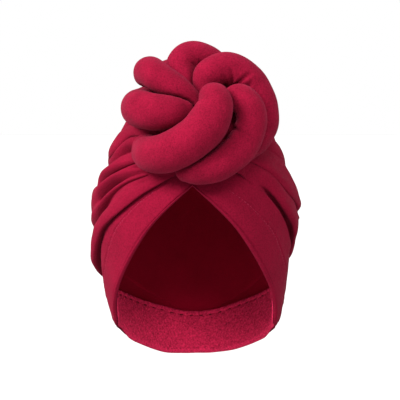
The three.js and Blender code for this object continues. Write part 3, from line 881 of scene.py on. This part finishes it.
def band_ring(side, along, profile, first_outside):
    """Points round the band's section at one place along it."""
    across, lift = profile.T
    direction = band_direction(side, np.full(len(across), along), across)
    hem = 1 - stretch(along, HEM_FADES)
    lift = np.where(lift > BAND_CLOTH, BAND_CLOTH + (lift - BAND_CLOTH) * hem, lift)
    over = band_over(side, along)
    hidden = np.clip((across - THINS.start) / (1 - THINS.start), 0, 1) * (1 - over)
    relief = band_relief(side, direction)
    lift[first_outside:-2] += (relief * (1 - hidden))[first_outside:-2]
    near_foot = np.clip(1 - across / FOOT_ROUNDS.across, 0, 1) ** 2
    rounded = stretch(along, FOOT_ROUNDS) * FOOT_ROUNDS.depth * near_foot
    lift[FOOT_ROW:-2] -= (rounded + THINS.depth * hidden)[FOOT_ROW:-2]
    lift[-2:] -= THINS.depth * TOP_SHARES * (1 - over)
    raised = stretch(across, OVER_RISES) * OVER.lift * over
    lift[:INSIDE_ROWS] += raised[:INSIDE_ROWS]
    lift[-2] += (lift[-3] - lift[-2]) * TOP_SHARES[0] * over
    lift[-1] += raised[-1]
    return on_head(direction, lift)


def make_face_band():
    profile, first_outside = band_profile()
    half = np.linspace(0, 1, BAND_STEPS + 1)
    loop = [(-1, a) for a in half] + [(1, a) for a in half[-2:0:-1]]
    points = np.array([band_ring(side, along, profile, first_outside) for side, along in loop])
    across = profile[:, 0] * BAND_LENGTHS.across
    uv = [np.stack(np.broadcast_arrays(across, side * a * BAND_LENGTHS.half), -1) for side, a in loop]
    faces = grid_faces(len(loop), len(profile), ring_rows=True, ring_columns=True)
    piece = make_piece("face_band_cloth", points, faces, jersey, np.array(uv))
    # The inside faces get the inside material, whose deeper red is painted shade.
    give_inside_painted_shade(piece, np.arange(len(faces)) % len(profile) < INSIDE_ROWS)
    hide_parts("face_band")
    paths = np.concatenate([seam_stitches(side) for side in (-1, 1)])
    threads = make_stitches("band_stitches", paths, BAND_STITCH.thick, pale_thread)
    return points[:, first_outside:]


# -------- terry band

# Where it starts along the rim, right and left, and half its length.
TERRY_START = {-1: 0.387, 1: 0.392}
TERRY_HALF = 200
TERRY_COLUMNS = 800
TERRY_STEP = 4
# Degrees that its ends lie behind the band's edge.
TERRY_BEHIND = 0.8
# Its foot lies over the band's rim at the sides and hangs below it at the back. least: height.
TERRY_FOOT = Row(over=0.5, below=2.2, least=1)
FOOT_ROWS = [0, 0.2, 0.4, 0.6, 0.8, 1.1, 1.4, 1.7, 2, 2.5, 3, 3.6]
TERRY_ROWS = 61
# Its foot thins over these heights to an edge that goes in at the sides and out at the back.
FOOT_THINS = Row(sides=14, back=2.4, inwards=0.5, outwards=1.3)
# At the back the foot curls out under the rim.
LIP = Row(height=1.5, lift=1.7, start=92, full=118, curls=0.6)
# Where it is low it is thinner: the least, and the height that adds a millimetre.
THINNER = Row(least=0.5, height=6)
# The turned hem below its top edge, the groove that its stitches pull in, and its edge.
HEM = Row(depth=4.4, extra=0.7, fades_from=0.9, fades_to=0.2)
GROOVE = Row(width=0.7, depth=0.5, at_stitch=0.9, sharp=1.4)
EDGE = Row(height=1.2, rounds=1.3, calms=0.6)
# Loops of the terry, longer than wide, and the clumps that they lie in.
LOOP_SHAPE = [1, 1, 0.45]
LOOPS = (0.3, 1.9, 11, 40)
CLUMPS = (0.22, 4.5, 12, 30)
TERRY_STITCH = Row(length=3.8, pitch=9.6, thick=1, sunk=1.2, bow=0.7)


def terry_line(side, along):
    """Degrees from the front, height of the foot and of the top edge along the terry band."""
    along = TERRY_START[side] + (1 - TERRY_START[side]) * along
    az = through(RIM, "along", "az", along) + TERRY_BEHIND * (1 - along)
    over, below = TERRY_FOOT.over, TERRY_FOOT.below
    foot = rim_height(side, along) + over - (below + over) * under_rim(az)
    top = through(TERRY_TOP, "az", "right" if side < 0 else "left", az)
    return az, foot, np.maximum(top, foot + TERRY_FOOT.least)


def make_nape_band():
    run = np.linspace(-1, 1, TERRY_COLUMNS + 1)
    both = zip(terry_line(-1, 1 - np.abs(run)), terry_line(1, 1 - np.abs(run)))
    az, foot, top = (np.where(run < 0, right, left) for right, left in both)
    sides = np.where(run < 0, -1, 1)
    height = top - foot
    rest = np.linspace(0, 1, TERRY_ROWS - len(FOOT_ROWS) + 1)[1:, None]
    low = np.array(FOOT_ROWS)[:, None] * np.minimum(1, height / 2 / FOOT_ROWS[-1])
    rise = np.concatenate([low, low[-1] + (height - low[-1]) * rest])
    z = foot + rise
    direction = direction_at(np.broadcast_to(sides * az, z.shape), z)
    base = on_head(direction)
    below_top = height - rise
    lip = under_rim(az)
    round_over = FOOT_THINS.sides + (FOOT_THINS.back - FOOT_THINS.sides) * lip
    rounding = 1 - np.clip(rise / round_over, 0, 1)
    thin = 1 - np.sqrt(1 - rounding**2)
    full = np.minimum(TERRY_CLOTH, THINNER.least + height / THINNER.height)
    hem = 1 - smoothstep(below_top, HEM.depth - HEM.fades_from, HEM.depth - HEM.fades_to)
    groove = bell((below_top - HEM.depth) / GROOVE.width)
    edge = 1 - smoothstep(below_top, 0, EDGE.height)
    arc = run * TERRY_HALF
    stitch = np.clip(np.cos(2 * np.pi * arc / TERRY_STITCH.pitch) * GROOVE.sharp, 0, 1)
    front = TERRY_GAP + full + HEM.extra * hem - EDGE.rounds * edge**2
    front = front - (GROOVE.depth + GROOVE.at_stitch * stitch) * groove
    loops = uneven(base, [CLUMPS], uneven(base * LOOP_SHAPE, [LOOPS]))
    front = front + loops * (1 - EDGE.calms * edge)
    rounded = thin * (FOOT_THINS.inwards - FOOT_THINS.outwards * lip)
    inner = on_head(direction, -front * (1 - thin) - rounded)
    curled = lip * (1 - smoothstep(rise, LIP.curls, LIP.height))
    back = -TERRY_GAP + (LIP.lift + TERRY_GAP) * curled
    few = slice(None, None, TERRY_STEP)
    outer = on_head(direction[few, few], back[few, few])
    uv = np.stack(np.broadcast_arrays(arc * MM, z * MM), -1)
    points, faces, uv = cloth_shell(inner, outer, TERRY_STEP, uv)
    piece = make_piece("nape_terry", points, faces, terry, uv)
    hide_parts("nape_band")
    pitch = TERRY_STITCH.pitch
    at = np.arange(-TERRY_HALF + pitch, TERRY_HALF - pitch, pitch) / TERRY_HALF
    all_turned = np.where(run < 0, -az, az - 360)
    path = []
    for place in STITCH_PLACES:
        there = at + place * TERRY_STITCH.length / TERRY_HALF
        way = direction_at(np.interp(there, run, all_turned), np.interp(there, run, top - HEM.depth))
        sunk = -TERRY_GAP - TERRY_CLOTH + TERRY_STITCH.sunk
        sunk -= TERRY_STITCH.bow * math.cos(math.pi * place)
        path.append(on_head(way, sunk))
    paths = np.stack(path, 1)
    # The thread's dark colour is painted shade of the stitch dimples.
    threads = make_stitches("terry_stitches", paths, TERRY_STITCH.thick, dark_thread_painted_shade)


# -------- rolls

ROLL_SIDES = 96
# Past its last point a roll goes so many radii further, and is so many radii wide there.
ROLL_CAPS = [(0.97, 0.24), (0.9, 0.44), (0.78, 0.63), (0.62, 0.78), (0.42, 0.91), (0.2, 0.98)]
ROLL_UNEVEN = Row(height=0.35, size=30)
INNER_FOLDS = Row(depth=0.5, most=0.8, size=7, seed=3, waves=30)
# The bend at a point of the line is averaged over so many points on each side.
BEND_SPREAD = 6
# Rolls are pressed flat where they touch. The place is looked for out to so many radii, by
# halving, against every so many points of the other lines.
LOOK_OUT = 1.6
HALVINGS = 11
CONTACT_STEP = 4
SQUASH_SOFTNESS = 1.3
LEAST_FREE = 0.5
# Rays down to the cloth start this far over a roll's surface.
RAY_START = 60
REST_SPREAD = 3


def outside_roll(line, points):
    """How far points lie outside a roll, taken as a string of thick segments."""
    a, r = line.points[::CONTACT_STEP], line.radius[::CONTACT_STEP]
    ab, dr = np.diff(a, axis=0), np.diff(r)
    least = np.full(len(points), np.inf)
    for k in range(len(ab)):
        ap = points - a[k]
        t = np.clip(ap @ ab[k] / (ab[k] @ ab[k]), 0, 1)
        away = np.linalg.norm(ap - t[:, None] * ab[k], axis=1) - (r[k] + t * dr[k])
        least = np.minimum(least, away)
    return least


def free_reach(name, centres, directions, reach):
    """Distance from each centre to the flat of contact with the rolls that press on it."""
    others = [other for other in lines if other != name]
    low, high = np.zeros(len(centres)), reach * LOOK_OUT

    def free(t):
        points = centres + directions * t[:, None]
        room = np.min([outside_roll(lines[other], points) for other in others], axis=0)
        return room - outside_roll(lines[name], points) - ROLL_GAP

    clear = free(high) >= 0
    for _ in range(HALVINGS):
        middle = (low + high) / 2
        ok = free(middle) >= 0
        low, high = np.where(ok, middle, low), np.where(ok, high, middle)
    return np.where(clear, reach * LOOK_OUT, np.maximum(low, LEAST_FREE))


# Puckers on the inner side of a bend. at: place along the roll. turned: degrees from the
# inside of the bend towards the wearer's front. spread: half the arc that it runs over.
# The cloth rises beside a pucker, by a share of its depth, so many widths away.
PUCKER = Row(power=1.5, share=0.4, away=2.2)
PUCKERS = table("roll at turned depth width spread slant", [
    ("roll_outer", 0.295, 45, 2, 1.7, 62, -7), ("roll_outer", 0.345, 42, 2.6, 1.9, 66, 5),
    ("roll_outer", 0.47, 30, 2.2, 1.8, 52, -6), ("roll_outer", 0.56, 20, 1.4, 1.8, 40, 3),
    ("roll_outer", 0.65, 20, 1.2, 2, 38, -3), ("roll_lower", 0.42, 10, 1.6, 2.6, 60, 4),
    ("roll_lower", 0.56, 0, 1, 2.4, 50, -4), ("roll_top", 0.55, 20, 2, 3, 60, 5),
    ("roll_front", 0.55, 0, 0.8, 3, 50, 5),
])


def stations(line):
    """Rows of a roll from end to end: number of the point, radii past it, radii wide."""
    last = len(line.points) - 1
    rows = [(0, -out, wide) for out, wide in ROLL_CAPS]
    rows += [(i, 0, 1) for i in range(last + 1)]
    rows += [(last, out, wide) for out, wide in ROLL_CAPS[::-1]]
    index, push, wide = zip(*rows)
    return np.array(index), np.array(push), np.array(wide)


def bends(line):
    """How sharply a roll bends at its points, and which way, averaged along it."""
    bend = np.gradient(line.tangents, axis=0) / ROLL_STEP
    average = np.ones(2 * BEND_SPREAD + 1) / (2 * BEND_SPREAD + 1)
    padded = np.pad(bend, ((BEND_SPREAD, BEND_SPREAD), (0, 0)), "edge")
    return np.stack([np.convolve(padded[:, k], average, "valid") for k in range(3)], 1)


def roll_surface(name):
    line = lines[name]
    index, push, wide = stations(line)
    tangent, normal = line.tangents[index], line.normals[index]
    binormal = np.cross(tangent, normal)
    radius = line.radius[index]
    centre = line.points[index] + tangent * (push * radius)[:, None]
    theta = np.linspace(0, 2 * np.pi, ROLL_SIDES, endpoint=False)
    normals, binormals, turned = normal[:, None], binormal[:, None], theta[None, :, None]
    way = np.cos(turned) * normals + np.sin(turned) * binormals
    reach = np.broadcast_to((wide * radius)[:, None], way.shape[:2]).copy()
    bend = bends(line)[index]
    inward = np.einsum("ijk,ik->ij", way, bend)
    run = line.run[index] + push * radius
    surface = centre[:, None] + way * reach[..., None]
    letters = len(name)
    reach += ROLL_UNEVEN.height * wave_noise(surface, ROLL_UNEVEN.size, letters) * wide[:, None]
    folds = np.clip(inward * radius[:, None], 0, INNER_FOLDS.most)
    noise = wave_noise(surface, INNER_FOLDS.size, INNER_FOLDS.seed + letters, INNER_FOLDS.waves)
    reach -= INNER_FOLDS.depth * folds * (1 + noise) * wide[:, None]
    across, out = (np.einsum("ij,ij->i", bend, side) for side in (binormal, normal))
    inside_turn = np.arctan2(across, out)
    front_turn = np.arctan2(-binormal[:, 1], -normal[:, 1])
    hand = np.sign(wrapped(front_turn - inside_turn))[:, None]
    for pucker in [row for row in PUCKERS if row.roll == name]:
        off = hand * wrapped(theta[None, :] - inside_turn[:, None]) - math.radians(pucker.turned)
        arc = np.clip(1 - (np.degrees(off) / pucker.spread) ** 2, 0, 1)
        centre_run = pucker.at * line.run[-1] + pucker.slant * off
        gap = np.abs((run[:, None] - centre_run) / pucker.width)
        reach -= pucker.depth * arc * np.exp(-(gap ** PUCKER.power))
        reach += PUCKER.share * pucker.depth * arc * bell(gap, PUCKER.away)
    flat_centre = np.broadcast_to(centre[:, None], way.shape).reshape(-1, 3)
    limit = free_reach(name, flat_centre, way.reshape(-1, 3), reach.ravel()).reshape(reach.shape)
    soft = SQUASH_SOFTNESS
    least = np.minimum(reach, limit)
    blended = least - soft * np.log(np.exp((least - reach) / soft) + np.exp((least - limit) / soft))
    return centre[:, None] + way * blended[..., None], run, theta


def spread_out(values, reach):
    """The largest of the neighbours within reach, then their average, round a roll's grid."""
    rows, columns = values.shape
    shifts = range(2 * reach + 1)

    def neighbours(grid):
        padded = np.pad(grid, ((reach, reach), (0, 0)), "edge")
        padded = np.pad(padded, ((0, 0), (reach, reach)), "wrap")
        return [padded[i : i + rows, j : j + columns] for i in shifts for j in shifts]

    return np.mean(neighbours(np.max(neighbours(values), axis=0)), axis=0)


def rested(points, tree, gap):
    """Points of a grid, moved along the head's normal as far as they need to rest on the cloth."""
    normals = head_normal(points)
    needed = np.zeros(points.shape[:2])
    for place in np.ndindex(needed.shape):
        start = points[place] + normals[place] * RAY_START
        hit, _, _, distance = tree.ray_cast(Vector(start), Vector(-normals[place]))
        if hit is not None:
            needed[place] = max(0.0, RAY_START - distance + gap)
    return points + normals * spread_out(needed, REST_SPREAD)[..., None]


SMOOTHED = Row(rolls=["roll_front", "roll_left", "roll_upper_left"], start=6, full=16, times=24)
# For the ribs: metres of cloth to a radian round a roll.
METRES_ROUND = 0.016


def smoothed_end(points):
    """Softens the corners that the cloth below presses into the far end of a roll."""
    rows, sides = points.shape[:2]
    share = 1 - stretch(np.arange(rows)[::-1], SMOOTHED)
    for _ in range(SMOOTHED.times):
        before = np.concatenate([points[:1], points[:-1]])
        after = np.concatenate([points[1:], np.roll(points[-1:], sides // 2, 1)])
        beside = np.roll(points, 1, 1) + np.roll(points, -1, 1)
        points = points + share[:, None, None] * ((before + after + beside) / 4 - points)
    return points


def make_roll(name, tree):
    points, run, theta = roll_surface(name)
    rows, sides = points.shape[:2]
    resting = rested(points, tree, ROLL_GAP)
    if name in SMOOTHED.rolls:
        resting = smoothed_end(resting)
    flat = resting.reshape(-1, 3)
    faces = grid_faces(rows, sides, ring_columns=True)
    ends = [flat[:sides].mean(0), flat[-sides:].mean(0)]
    tip, tail = rows * sides, rows * sides + 1
    for j in range(sides):
        k = (j + 1) % sides
        faces.append([k, j, tip])
        faces.append([tip - sides + j, tip - sides + k, tail])
    uv = np.stack(np.broadcast_arrays(theta[None, :] * METRES_ROUND, run[:, None] * MM), -1)
    uv = np.concatenate([uv.reshape(-1, 2), uv[0, :1], uv[-1, :1]])
    points = np.vstack([flat, ends])
    name_of_piece = name.replace("roll", "stuffed_roll")
    piece = make_piece(name_of_piece, points, faces, roll_jersey, uv)
    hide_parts(name)


# -------- assembly

crown_outer = make_crown()
band_outer = make_face_band()
make_nape_band()
under = [crown_outer, band_outer]
under_points = np.concatenate([grid.reshape(-1, 3) for grid in under])
under_faces = grid_faces(*crown_outer.shape[:2])
under_faces += grid_faces(*band_outer.shape[:2], start=crown_outer.size // 3)
cloth_tree = BVHTree.FromPolygons(under_points.tolist(), turned_over(under_faces))
for roll in ROLLS:
    make_roll(roll, cloth_tree)

# -------- stage, light, camera

FLOOR_BELOW = 0.35
FLOOR_RADIUS = 14
SUNS = table("name azimuth elevation softness strength", [
    ("key", -55, 35, 30, 7.5), ("front", 4, 34, 16, 2.3),
    ("front left", -28, 34, 14, 0.4), ("front right", 34, 34, 14, 0.6),
])


def make_floor():
    low = cad_box[0].z - FLOOR_BELOW
    add = bpy.ops.mesh.primitive_circle_add
    add(vertices=96, radius=FLOOR_RADIUS, fill_type="NGON", location=(0, 0, low))
    floor = bpy.context.object
    floor.name = "floor"
    material, tree, shader = new_material("floor")
    feed(tree, shader, {"Base Color": (0.38, 0.38, 0.38, 1), "Roughness": 1})
    floor.data.materials.append(material)


def seen_from(azimuth, elevation):
    """Direction towards a place: azimuth 0 is the camera's side, -90 its left."""
    az, el = math.radians(azimuth), math.radians(elevation)
    return Vector((math.sin(az) * math.cos(el), -math.cos(az) * math.cos(el), math.sin(el)))


def make_sun(name, azimuth, elevation, softness, strength):
    data = bpy.data.lights.new(name, "SUN")
    data.angle = math.radians(softness)
    data.energy = strength
    light = bpy.data.objects.new(name, data)
    light.rotation_mode = "QUATERNION"
    light.rotation_quaternion = seen_from(azimuth, elevation).to_track_quat("Z", "Y")
    bpy.context.scene.collection.objects.link(light)


def make_world(strength):
    world = bpy.data.worlds.new("studio")
    bpy.context.scene.world = world
    world.use_nodes = True
    tree = world.node_tree
    feed(tree, tree.nodes["Background"], {"Color": (1, 1, 1, 1), "Strength": strength})


# The picture's middle is this many millimetres right of and above the middle of the head.
CAMERA = Row(azimuth=2, elevation=4, distance=2.0, width=372, right=3.25, above=23.25)


def make_camera():
    ahead = -seen_from(CAMERA.azimuth, CAMERA.elevation)
    right = seen_from(CAMERA.azimuth + 90, 0)
    up = right.cross(ahead)
    aim = Vector((0, 0, -CROWN_TOP * MM)) + (right * CAMERA.right + up * CAMERA.above) * MM
    data = bpy.data.cameras.new("camera")
    data.sensor_width = 36
    data.lens = data.sensor_width * CAMERA.distance / (CAMERA.width * MM)
    camera = bpy.data.objects.new("camera", data)
    turned = Matrix((right, up, -ahead)).transposed().to_4x4()
    turned.translation = aim - ahead * CAMERA.distance
    camera.matrix_world = turned
    bpy.context.scene.collection.objects.link(camera)
    bpy.context.scene.camera = camera


make_floor()
make_world(1.0)
for sun in SUNS:
    make_sun(**sun)
make_camera()
bpy.context.scene.view_settings.view_transform = "Standard"
